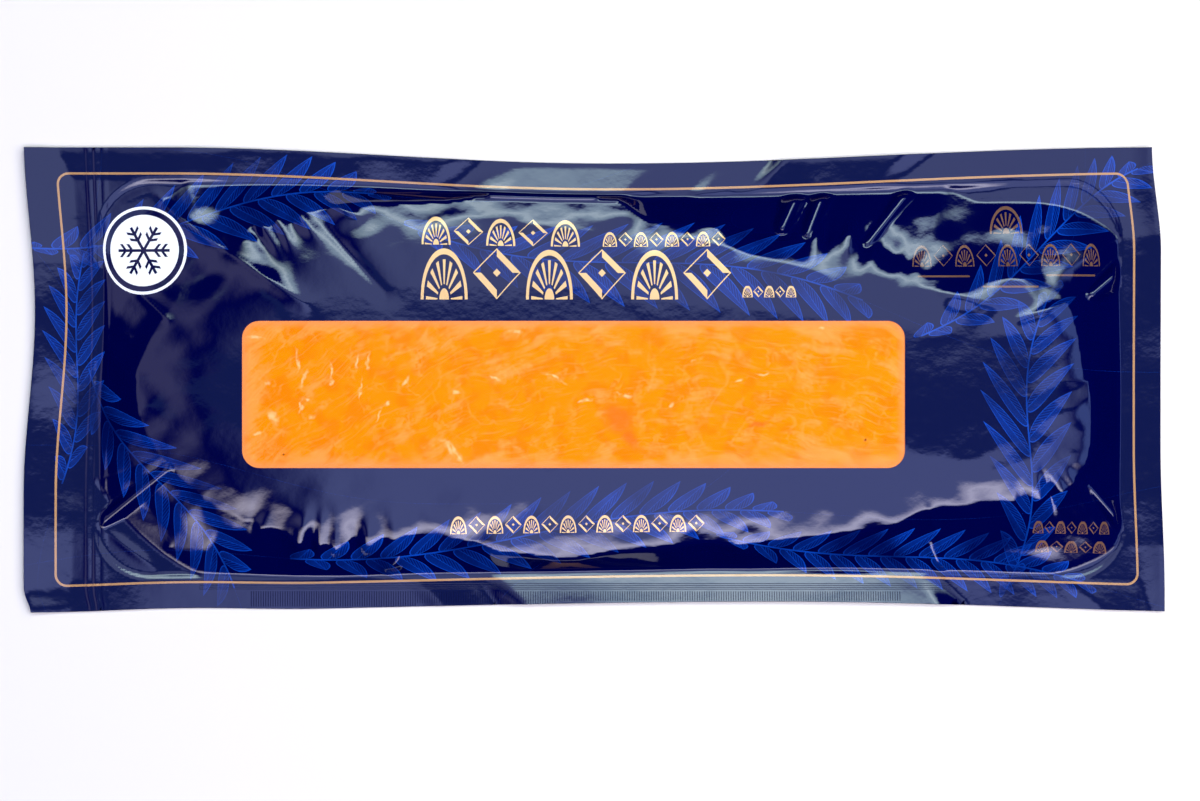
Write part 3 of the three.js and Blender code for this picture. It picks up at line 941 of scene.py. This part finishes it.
print("gold bands:", len(GOLD_BANDS), "copper bands:", len(SHADED_CREST_BANDS), "sprays:", len(SPRAYS))

# %% [markdown]
# ## The badge
#
# A white disc in a white ring says that the pack is chilled, with a snow crystal cut out
# of it. The crystal is one arm with two twigs, folded twelve times round the middle.

# %% The snow crystal on its disc


def badge_group():
    tree, given = shader_group("chilled_badge", {"Place": (0, 0, 0)}, ["Disc", "White"])
    local = add(tree, "VectorMath SUBTRACT", given["Place"], (*BADGE["middle"], 0))
    x, y, _ = add(tree, "SeparateXYZ", local).outputs
    radius = add(tree, "VectorMath LENGTH", local).outputs["Value"]
    disc = add(tree, "Math LESS_THAN", radius, BADGE["outer"])
    ring = add(tree, "Math GREATER_THAN", radius, BADGE["ring_in"])
    inner = add(tree, "Math LESS_THAN", radius, BADGE["disc"])
    folded = steps(tree, y, ("ARCTAN2", x), ("PINGPONG", math.pi / 6))
    cosine = add(tree, "Math COSINE", folded)
    sine = add(tree, "Math SINE", folded)
    out = add(tree, "Math MULTIPLY", radius, cosine)
    off = add(tree, "Math MULTIPLY", radius, sine)
    arm = add(tree, "Math LESS_THAN", off, CRYSTAL["arm_width"] / 2)
    arm_end = add(tree, "Math LESS_THAN", out, CRYSTAL["arm"])
    arms = add(tree, "Math MULTIPLY", arm, arm_end)
    slanted = add(tree, "Math MULTIPLY_ADD", off, CRYSTAL["slant"], out)
    near_twig, far_twig = [add(tree, "Math COMPARE", slanted, root, CRYSTAL["twig_half"])
                           for root in CRYSTAL["twig_roots"]]
    twigs = either(tree, near_twig, far_twig)
    short = add(tree, "Math LESS_THAN", off, CRYSTAL["twig"])
    twigs = add(tree, "Math MULTIPLY", twigs, short)
    crystal = either(tree, arms, twigs)
    white = steps(tree, inner, ("SUBTRACT", crystal), ("MAXIMUM", 0.0))
    white = steps(tree, ring, ("MAXIMUM", white), ("MULTIPLY", disc))
    add(tree, "NodeGroupOutput", disc, white)
    return tree


CHILLED_BADGE = badge_group()
print("badge:", len(CHILLED_BADGE.nodes), "nodes")

# %% [markdown]
# ## Ink under gloss
#
# The inks are laid over one another, each by its mask: the sprays in two blues, the badge,
# and the gold figures, which are part metal. The frame line and the crest are the same gold
# painted darker, as painted shade. The coat over them is smooth but for a slight crinkle.
# In the window the ink gives way to a clear film.

# %% The laminate itself


def printed_laminate():
    material = bpy.data.materials.new("printed_laminate")
    tree = cleared_tree(material)
    place = add(tree, "Attribute", attribute_name="film").outputs["Vector"]

    sprays = [figure(tree, ENGRAVED_SPRAY, place, middle, -math.radians(turn), *sizes)
              for middle, turn, *sizes in SPRAYS]
    fill = either(tree, *[spray.outputs["Fill"] for spray in sprays])
    line = either(tree, *[spray.outputs["Line"] for spray in sprays])
    wash = add(tree, "TexNoise", place, inputs={"Scale": 0.03, "Detail": 2.0})
    wash = add(tree, "MapRange", wash, 0.35, 0.65, 0.15, 1.0)
    fill = add(tree, "Math MULTIPLY", fill, wash)
    line = add(tree, "Math MULTIPLY", line, wash)

    badge = add(tree, "Group", place, node_tree=CHILLED_BADGE)
    frame_edge = boxed(tree, place, FRAME_LINE)
    frame_line = add(tree, "Math COMPARE", frame_edge, 0.0, FRAME_LINE_WIDTH / 2)
    gold = either(tree, *[figure(tree, ORNAMENT_BAND, place, *band) for band in GOLD_BANDS])
    crest = [figure(tree, ORNAMENT_BAND, place, *band) for band in SHADED_CREST_BANDS]
    for middle, half_length in SHADED_CREST_RULES:
        rule = figure(tree, ROUNDED_BOX, place, middle, (half_length, 0, 0), RULE_HALF_WIDTH)
        crest.append(add(tree, "Math LESS_THAN", rule, 0.0))
    shaded_crest = either(tree, *crest)

    ink = tinted(tree, NAVY, fill, DEEP_BLUE)
    # The frame line and the crest take the gold painted darker: painted shade.
    layers = [(line, LINE_BLUE), (badge.outputs["Disc"], NAVY), (badge.outputs["White"], WHITE),
              (frame_line, SHADED_FRAME_GOLD), (shaded_crest, SHADED_CREST_GOLD), (gold, GOLD)]
    for mask, tint in layers:
        ink = tinted(tree, ink, mask, tint)
    metal = either(tree, frame_line, shaded_crest, gold)
    metallic = add(tree, "Math MULTIPLY", metal, 0.4)
    roughness = add(tree, "MapRange", metal, 0.0, 1.0, 0.42, 0.36)

    crinkle = add(tree, "TexNoise", place, inputs={"Scale": 0.16, "Detail": 3.0})
    relief = add(tree, "Bump", 0.05, 0.001, inputs={"Height": crinkle.outputs[0]})
    laminate = add(tree, "BsdfPrincipled", inputs={
        "Base Color": ink, "Metallic": metallic.outputs[0], "Roughness": roughness.outputs[0],
        "IOR": 1.5, "Specular IOR Level": 0.0, "Coat Weight": 1.0, "Coat Roughness": 0.05,
        "Coat IOR": 1.5, "Normal": relief.outputs[0], "Coat Normal": relief.outputs[0]})

    gloss = add(tree, "BsdfGlossy", (1, 1, 1, 1), inputs={
        "Roughness": 0.05, "Normal": relief.outputs[0]})
    through = add(tree, "BsdfTransparent", (1.0, 1.0, 1.0, 1))
    mirror = add(tree, "Fresnel", 1.17)
    clear = add(tree, "MixShader", mirror, through, gloss)
    window_edge = boxed(tree, place, WINDOW)
    in_window = add(tree, "Math LESS_THAN", window_edge, 0.0)
    surface = add(tree, "MixShader", in_window, laminate, clear)
    add(tree, "OutputMaterial", surface)
    return material


def plain_laminate():
    """The back web: the same film, printed navy all over."""
    material = bpy.data.materials.new("plain_laminate")
    tree = cleared_tree(material)
    place = add(tree, "Attribute", attribute_name="film").outputs["Vector"]
    crinkle = add(tree, "TexNoise", place, inputs={"Scale": 0.05, "Detail": 4.0})
    relief = add(tree, "Bump", 0.25, 0.001, inputs={"Height": crinkle.outputs[0]})
    tone = tinted(tree, BACK_NAVY, crinkle, BACK_BLUE)
    laminate = add(tree, "BsdfPrincipled", inputs={
        "Base Color": tone, "Roughness": 0.42, "IOR": 1.5, "Specular IOR Level": 0.0,
        "Coat Weight": 1.0, "Coat Roughness": 0.06, "Coat IOR": 1.5,
        "Normal": relief.outputs[0], "Coat Normal": relief.outputs[0]})
    add(tree, "OutputMaterial", laminate)
    return material


PRINTED = printed_laminate()
pouch.data.materials.append(PRINTED)
pouch.data.materials.append(plain_laminate())
print("printed laminate:", len(PRINTED.node_tree.nodes), "nodes")

# %% [markdown]
# ## Smoked salmon
#
# The flesh is a wet, slightly translucent orange. Its colour wanders between a yellow and
# a deeper orange. The fat shows as single short threads and spots, most of them towards
# the tail, so each is a mark with a place, a size and a heading.

# %% Colours of the flesh, and its marks
# The rosy tint is painted haze along the window's rim.
FLESH, FLESH_DEEP, FLESH_PALE, FLESH_RIM_HAZE = "#ee8c00", "#ea7c00", "#f49c48", "#f09050"
FLESH_VEIN = "#f6a856"
FAT, BLOOD, SPECK = "#ffd296", "#f26c1c", "#3a1606"
MUSCLE_BOW = {"middle": 50.0, "bend": 0.00175}
FAT_MARKS = [
    # x, y, half length, half width, heading in degrees
    (-169, -2, 1.9, 1.4, 20), (-146, -19, 1.7, 1.5, 0), (-136, -2, 2.0, 1.1, 30),
    (-120, -6, 1.8, 1.2, 90), (-148, -9, 1.9, 0.8, 15), (-107, -12, 1.6, 1.0, 50),
    (-166, -19, 4.6, 2.1, -50), (-174, -28, 2.4, 1.2, 10), (-174, 22, 4.5, 1.2, -5),
    (-153, 9, 6.0, 0.8, 100), (-149, 1, 5.5, 0.8, 66), (-151, -13, 4.0, 0.7, 80),
    (-122, 10, 5.5, 0.8, 84), (-116, 9, 6.0, 0.8, 82), (-120, -5, 6.0, 0.7, 90),
    (-136, 4, 4.5, 0.7, 88), (-97, -1, 3.5, 0.8, 70), (-110, -16, 5.0, 0.7, 62),
    (-73, -37, 8.0, 1.6, -48), (-51, 2, 2.4, 0.8, -20), (-71, -6, 1.8, 1.0, 0),
    (-20, 1, 6.0, 0.8, -28), (-41, 25, 3.0, 1.0, 10), (16, -8, 4.5, 0.8, -22),
    (39, -12, 1.7, 1.5, 60), (51, 9, 1.4, 0.8, 30), (74, -1, 2.4, 1.0, 12),
    (87, 3, 4.0, 0.6, 6), (116, 26, 1.5, 1.2, 0), (-5, -10, 4.0, 0.8, 8),
]
BLOOD_MARKS = [(12, -20, 10.5, 8.0, -50), (19, -30, 6.5, 4.0, -60), (84, -24, 6.0, 1.6, 5)]
SPECK_MARKS = [(139.5, -31, 0.9, 0.5, 60), (-160, -38.5, 0.5, 0.5, 0)]


def soft_mark_group():
    tree, given = shader_group("soft_mark", {
        "Place": (0, 0, 0),
        "Middle": (0, 0, 0),
        "Turn": 0.0,
        "Half Size": (1, 1, 1),
    }, ["Mark"])
    local = add(tree, "VectorMath SUBTRACT", given["Place"], given["Middle"])
    local = add(tree, "VectorRotate", local, inputs={"Angle": given["Turn"]}, **ABOUT_Z)
    shares = add(tree, "VectorMath DIVIDE", local, given["Half Size"])
    away = add(tree, "VectorMath LENGTH", shares).outputs["Value"]
    mark = add(tree, "MapRange", away, 1.3, 0.3, **EASED)
    add(tree, "NodeGroupOutput", mark)
    return tree


SOFT_MARK = soft_mark_group()


def marked(tree, place, marks):
    """A mask of soft marks. A mark has no end in height, so its third half size is large."""
    return either(tree, *[
        figure(tree, SOFT_MARK, place, (x, y), -math.radians(heading), (*half_sizes, 1000))
        for x, y, *half_sizes, heading in marks])


print("marks of fat:", len(FAT_MARKS))

# %% [markdown]
# ## The flesh
#
# A paler veil lies across the orange in patches, where a cloudy noise and a streaky one
# are both high. By the window's rim more of it shows, and a rosy band runs along the rim:
# both are painted haze where the print's edge meets the clear film. The muscle lines of a
# fillet are bowed, so the streaks are drawn on a bowed ruler: height plus a parabola of the
# length. Thin veins follow the middle value of a noise. A slow warp of the places makes the
# marks crooked, and a noise breaks up the fat.

# %% The flesh's shader
VEINS = [(0.04, 0.03), (0.09, 0.045)]       # the scale of a noise, the width about its middle
VEIL_SPAN, VEIL_MOST = (0.99, 1.23), 0.85
# Painted haze by the window's rim: more pale veil there, and a rosy band along it.
VEIL_HAZE_SPAN, VEIL_HAZE_GAIN = (-20.0, -1.0), (-0.06, 0.12)
RIM_HAZE_SPAN, RIM_HAZE_MOST = (-5.0, 0.5), 0.8


def smoked_flesh():
    material = bpy.data.materials.new("smoked_flesh")
    tree = cleared_tree(material)
    place = add(tree, "TexCoord").outputs["Object"]
    mm = add(tree, "Mapping", place, inputs={"Scale": (1000, 1000, 0)})

    def shifted(places, amount, **noise):
        wander = add(tree, "TexNoise", mm, inputs=noise).outputs[1]
        wander = add(tree, "VectorMath SUBTRACT", wander, (0.5, 0.5, 0.5))
        wander = add(tree, "VectorMath SCALE", wander, inputs={3: amount})
        return add(tree, "VectorMath ADD", places, wander)

    crooked = shifted(shifted(mm, 7.0, Scale=0.09, Detail=2.0), 2.4, Scale=0.45, Detail=3.0)
    x, y, _ = add(tree, "SeparateXYZ", shifted(mm, 16.0, Scale=0.03, Detail=2.0)).outputs
    off_middle = add(tree, "Math SUBTRACT", x, MUSCLE_BOW["middle"])
    bow = add(tree, "Math MULTIPLY", off_middle, off_middle)
    bow = add(tree, "Math MULTIPLY_ADD", bow, MUSCLE_BOW["bend"], y)
    bowed = add(tree, "CombineXYZ", x, bow)

    def patches(places, low, high, most, **noise):
        cloud = add(tree, "TexNoise", places, inputs=noise)
        return add(tree, "MapRange", cloud, low, high, 0.0, most, **EASED)

    mottle = patches(mm, 0.47, 0.6, 0.7, Scale=0.07, Detail=5.0, Roughness=0.6)
    tone = tinted(tree, FLESH, mottle, FLESH_DEEP)
    off_rim = boxed(tree, mm, WINDOW)
    # More pale veil by the window's rim: painted haze.
    haze_by_rim = add(tree, "MapRange", off_rim, *VEIL_HAZE_SPAN, *VEIL_HAZE_GAIN)
    cloud = add(tree, "TexNoise", crooked, inputs={
        "Scale": 0.05, "Detail": 6.0, "Roughness": 0.62, "Distortion": 0.5})
    cloud = add(tree, "Math ADD", cloud, haze_by_rim)
    streaks = add(tree, "Mapping", bowed, inputs={"Scale": (0.03, 0.13, 1)})
    streaks = add(tree, "TexNoise", streaks, inputs={
        "Scale": 1.0, "Detail": 5.0, "Roughness": 0.6})
    cloud = add(tree, "Math ADD", cloud, streaks)
    veils_and_rim_haze = add(tree, "MapRange", cloud, *VEIL_SPAN, 0.0, VEIL_MOST, **EASED)
    tone = tinted(tree, tone, veils_and_rim_haze, FLESH_PALE)
    along_muscle = add(tree, "Mapping", bowed, inputs={"Scale": (0.06, 0.6, 1)})
    for scale, width in VEINS:
        cloud = add(tree, "TexNoise", crooked, inputs={"Scale": scale, "Detail": 2.0})
        off_vein = steps(tree, cloud, ("SUBTRACT", 0.5), ("ABSOLUTE",))
        vein = add(tree, "MapRange", off_vein, width, 0.0, **EASED)
        broken = patches(mm, 0.46, 0.62, 0.3, Scale=1.3 * scale, Detail=2.0)
        tone = tinted(tree, tone, add(tree, "Math MULTIPLY", vein, broken), FLESH_VEIN)
    grain = patches(along_muscle, 0.52, 0.7, 0.45, Scale=1.0, Detail=4.0, Roughness=0.6)
    tone = tinted(tree, tone, grain, FLESH_PALE)
    fibres = add(tree, "Mapping", bowed, inputs={"Scale": (0.22, 1.9, 1)})
    fine = patches(fibres, 0.5, 0.7, 0.4, Scale=1.0, Detail=3.0)
    tone = tinted(tree, tone, fine, FLESH_DEEP)
    blood = add(tree, "Math MULTIPLY", marked(tree, crooked, BLOOD_MARKS), 0.7)
    tone = tinted(tree, tone, blood, BLOOD)

    # A rosy band along the window's rim: painted haze.
    rim = add(tree, "MapRange", off_rim, *RIM_HAZE_SPAN, 0.0, RIM_HAZE_MOST, **EASED)
    tone = tinted(tree, tone, rim, FLESH_RIM_HAZE)
    broken = patches(mm, 0.3, 0.6, 0.6, Scale=0.3, Detail=3.0)
    fat = add(tree, "Math MULTIPLY", marked(tree, crooked, FAT_MARKS), broken)
    tone = tinted(tree, tone, fat, FAT)
    tone = tinted(tree, tone, marked(tree, mm, SPECK_MARKS), SPECK)

    relief = add(tree, "Bump", 0.2, 0.001, inputs={"Height": grain.outputs[0]})
    flesh = add(tree, "BsdfPrincipled", inputs={
        "Base Color": tone, "Roughness": 0.4, "IOR": 1.38, "Subsurface Weight": 0.06,
        "Subsurface Radius": (1.0, 0.35, 0.12), "Subsurface Scale": 0.002,
        "Specular IOR Level": 0.03, "Normal": relief.outputs[0]})
    add(tree, "OutputMaterial", flesh)
    return material


salmon.data.materials.append(smoked_flesh())
print("flesh:", len(salmon.data.materials[0].node_tree.nodes), "nodes")

# %% [markdown]
# ## The ribs of the bottom seal, laid on the film
#
# The tree's inputs are set by their identifiers before the piece is first evaluated.
# Its result is taken as a plain mesh, and the modifier goes.

# %% Lay the ribs
START_HEIGHT = 20
RIBS = {
    "upright": {"Start": (-178, -117.6, START_HEIGHT), "Step": (1.25, 0, 0), "Count": 270,
                "Along": (0, 8.0, 0), "Points": 6, "Radius": 0.22},
    "long": {"Start": (-205, -105.6, START_HEIGHT), "Step": (0, -0.95, 0), "Count": 4,
             "Along": (390, 0, 0), "Points": 260, "Radius": 0.2},
}
IN_MILLIMETRES = ("Start", "Step", "Along", "Radius")


def laid_ribs(name, sizes):
    holder = placed("holder", bpy.data.meshes.new("holder"))
    modifier = holder.modifiers.new("ribs", "NODES")
    modifier.node_group = RIBS_ON_FILM
    identifiers = {item.name: item.identifier for item in RIBS_ON_FILM.interface.items_tree}
    for key, value in sizes.items():
        scaled = value
        if key in IN_MILLIMETRES:
            scaled = tuple(v * MM for v in value) if isinstance(value, tuple) else value * MM
        modifier[identifiers[key]] = scaled
    modifier[identifiers["Film"]] = pouch
    modifier[identifiers["Finish"]] = PRINTED
    evaluated = holder.evaluated_get(bpy.context.evaluated_depsgraph_get())
    mesh = bpy.data.meshes.new_from_object(evaluated)
    bpy.data.objects.remove(holder)
    mesh.name = name
    mesh.polygons.foreach_set("use_smooth", [True] * len(mesh.polygons))
    return placed(name, mesh)


ribs = [laid_ribs(f"seal_ribs_{name}", sizes) for name, sizes in RIBS.items()]
for piece in ribs:
    print(piece.name, len(piece.data.polygons), "faces", [m.name for m in piece.data.materials])

# %% [markdown]
# ## What each piece stands for
#
# The skin of film stands for the pouch and for its window pane, which are one film on
# the real pack. The fish stands for its own solid. Nothing moves, so all of it rides on
# the one body.

# %% Tie the pieces to the frame
for piece in (pouch, salmon, *ribs):
    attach(piece, "root")
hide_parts("pouch", "window_film")
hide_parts("salmon")
print("tied to the frame:", [piece.name for piece in (pouch, salmon, *ribs)])

# %% [markdown]
# ## Camera, light and floor
#
# The camera looks straight down from well above the pack. Glossy film shows little of
# its own: what is seen is the room mirrored in it. So the room is a list of soft-edged
# rectangles, placed by the slope of the mirrored ray along and across the pack. A dim
# ceiling makes a haze on what lies nearly level, with a dark gap where the camera hangs.
# Two long soft boxes beyond the pack's long sides catch the folds and shoulders that
# lean towards them, and two dim walls do so at its ends. Steeper slopes mirror nothing
# and stay navy. The light that falls on the table and on the flesh comes from one large
# area light that the gloss doesn't show.

# %% Camera
CAMERA_PLACE = (0.0029, -0.0107)
CAMERA_HEIGHT = 1.6
VIEW_WIDTH = 0.6232
camera_data = bpy.data.cameras.new("camera")
camera_data.sensor_width = 36.0
camera_data.lens = camera_data.sensor_width * CAMERA_HEIGHT / VIEW_WIDTH
camera = placed("camera", camera_data)
camera.location = (*CAMERA_PLACE, CAMERA_HEIGHT)
bpy.context.scene.camera = camera
bpy.context.scene.view_settings.view_transform = "Standard"
print("lens:", round(camera_data.lens, 1), "mm")

# %% Floor, soft boxes and ceiling
TABLE_HALF, TABLE_DROP = 3000.0, -0.05
# Each rectangle is a span of slopes along the pack and its softness, the same across the
# pack, a radiance and a tint. A slope of 0.3 is 0.3 m to the side for each metre up.
STUDIO = [
    ((-0.31, 0.4), 0.11, (0.29, 0.48), 0.04, 4.9, "#d8faf8"),       # soft box, back
    ((-0.31, 0.31), 0.11, (0.36, 0.42), 0.03, 3.5, "#f6fffc"),      # its bright middle
    ((-0.42, 0.4), 0.11, (-0.48, -0.29), 0.05, 5.0, "#fcf2ff"),     # soft box, front
    ((-0.31, 0.31), 0.11, (-0.42, -0.36), 0.03, 2.5, "#f4f0ff"),    # its bright middle
    ((-0.17, 0.36), 0.12, (0.029, 0.5), 0.018, 2.3, "#bacbff"),     # ceiling, back
    ((-0.17, 0.36), 0.12, (-0.5, -0.038), 0.018, 3.1, "#aebeff"),   # ceiling, front
    ((-0.36, 0.36), 0.1, (-0.038, 0.029), 0.018, 0.4, "#9bc8ff"),   # dark gap over the camera
    ((-0.64, -0.36), 0.08, (-0.2, 0.3), 0.08, 1.1, "#d6d4ff"),      # wall, left
    ((0.46, 0.64), 0.04, (-0.3, 0.3), 0.1, 3.0, "#8fadff"),         # wall, right
]
LOWEST_RAY = 0.05


def floor_material():
    material = bpy.data.materials.new("white_table")
    tree = cleared_tree(material)
    surface = add(tree, "BsdfPrincipled", inputs={
        "Base Color": colour("#f4ece3"), "Roughness": 0.9, "Specular IOR Level": 0.1})
    add(tree, "OutputMaterial", surface)
    return material


def floor():
    corners = [(x * TABLE_HALF, y * TABLE_HALF, TABLE_DROP)
               for x, y in ((-1, -1), (1, -1), (1, 1), (-1, 1))]
    piece = finished("white_table", corners, [(0, 1, 2, 3)], smooth_shaded=False)
    piece.data.materials.append(floor_material())
    return piece


def overhead_fill(place, size, watts):
    """A broad soft light that no gloss mirrors: it lights the matt and the coloured only."""
    data = bpy.data.lights.new("overhead_fill", "AREA")
    data.size = size
    data.energy = watts
    fill = placed("overhead_fill", data)
    fill.location = place
    fill.rotation_euler = (-Vector(place)).to_track_quat("-Z", "Y").to_euler()
    fill.visible_glossy = False


def studio_world():
    """What the gloss mirrors: a few soft rectangles overhead, and darkness beyond them."""
    world = bpy.data.worlds.new("studio")
    tree = cleared_tree(world)
    direction = add(tree, "TexCoord").outputs["Generated"]
    x, y, up = add(tree, "SeparateXYZ", direction).outputs
    height = add(tree, "Math MAXIMUM", up, LOWEST_RAY)
    along = add(tree, "Math DIVIDE", x, height)
    across = add(tree, "Math DIVIDE", y, height)

    def between(value, low, high, soft):
        rising = add(tree, "MapRange", value, low - soft, low + soft, **EASED)
        falling = add(tree, "MapRange", value, high + soft, high - soft, **EASED)
        return add(tree, "Math MULTIPLY", rising, falling)

    total = (0, 0, 0)
    for span_along, soft_along, span_across, soft_across, radiance, tint in STUDIO:
        inside = add(tree, "Math MULTIPLY", between(along, *span_along, soft_along),
                     between(across, *span_across, soft_across))
        bright = [radiance * channel for channel in colour(tint)[:3]]
        glow = add(tree, "VectorMath SCALE", bright, inputs={3: inside})
        total = add(tree, "VectorMath ADD", glow, total)
    lit = add(tree, "Background", total, 1.0)
    seen = add(tree, "Background", colour("#fafafd"), 1.0)
    direct = add(tree, "LightPath").outputs["Is Camera Ray"]
    chosen = add(tree, "MixShader", direct, lit, seen)
    add(tree, "OutputWorld", chosen)
    return world


table = floor()
overhead_fill(place=(0.8, 0.1, 1.7), size=1.6, watts=33)
bpy.context.scene.world = studio_world()
print("rectangles in the studio:", len(STUDIO))
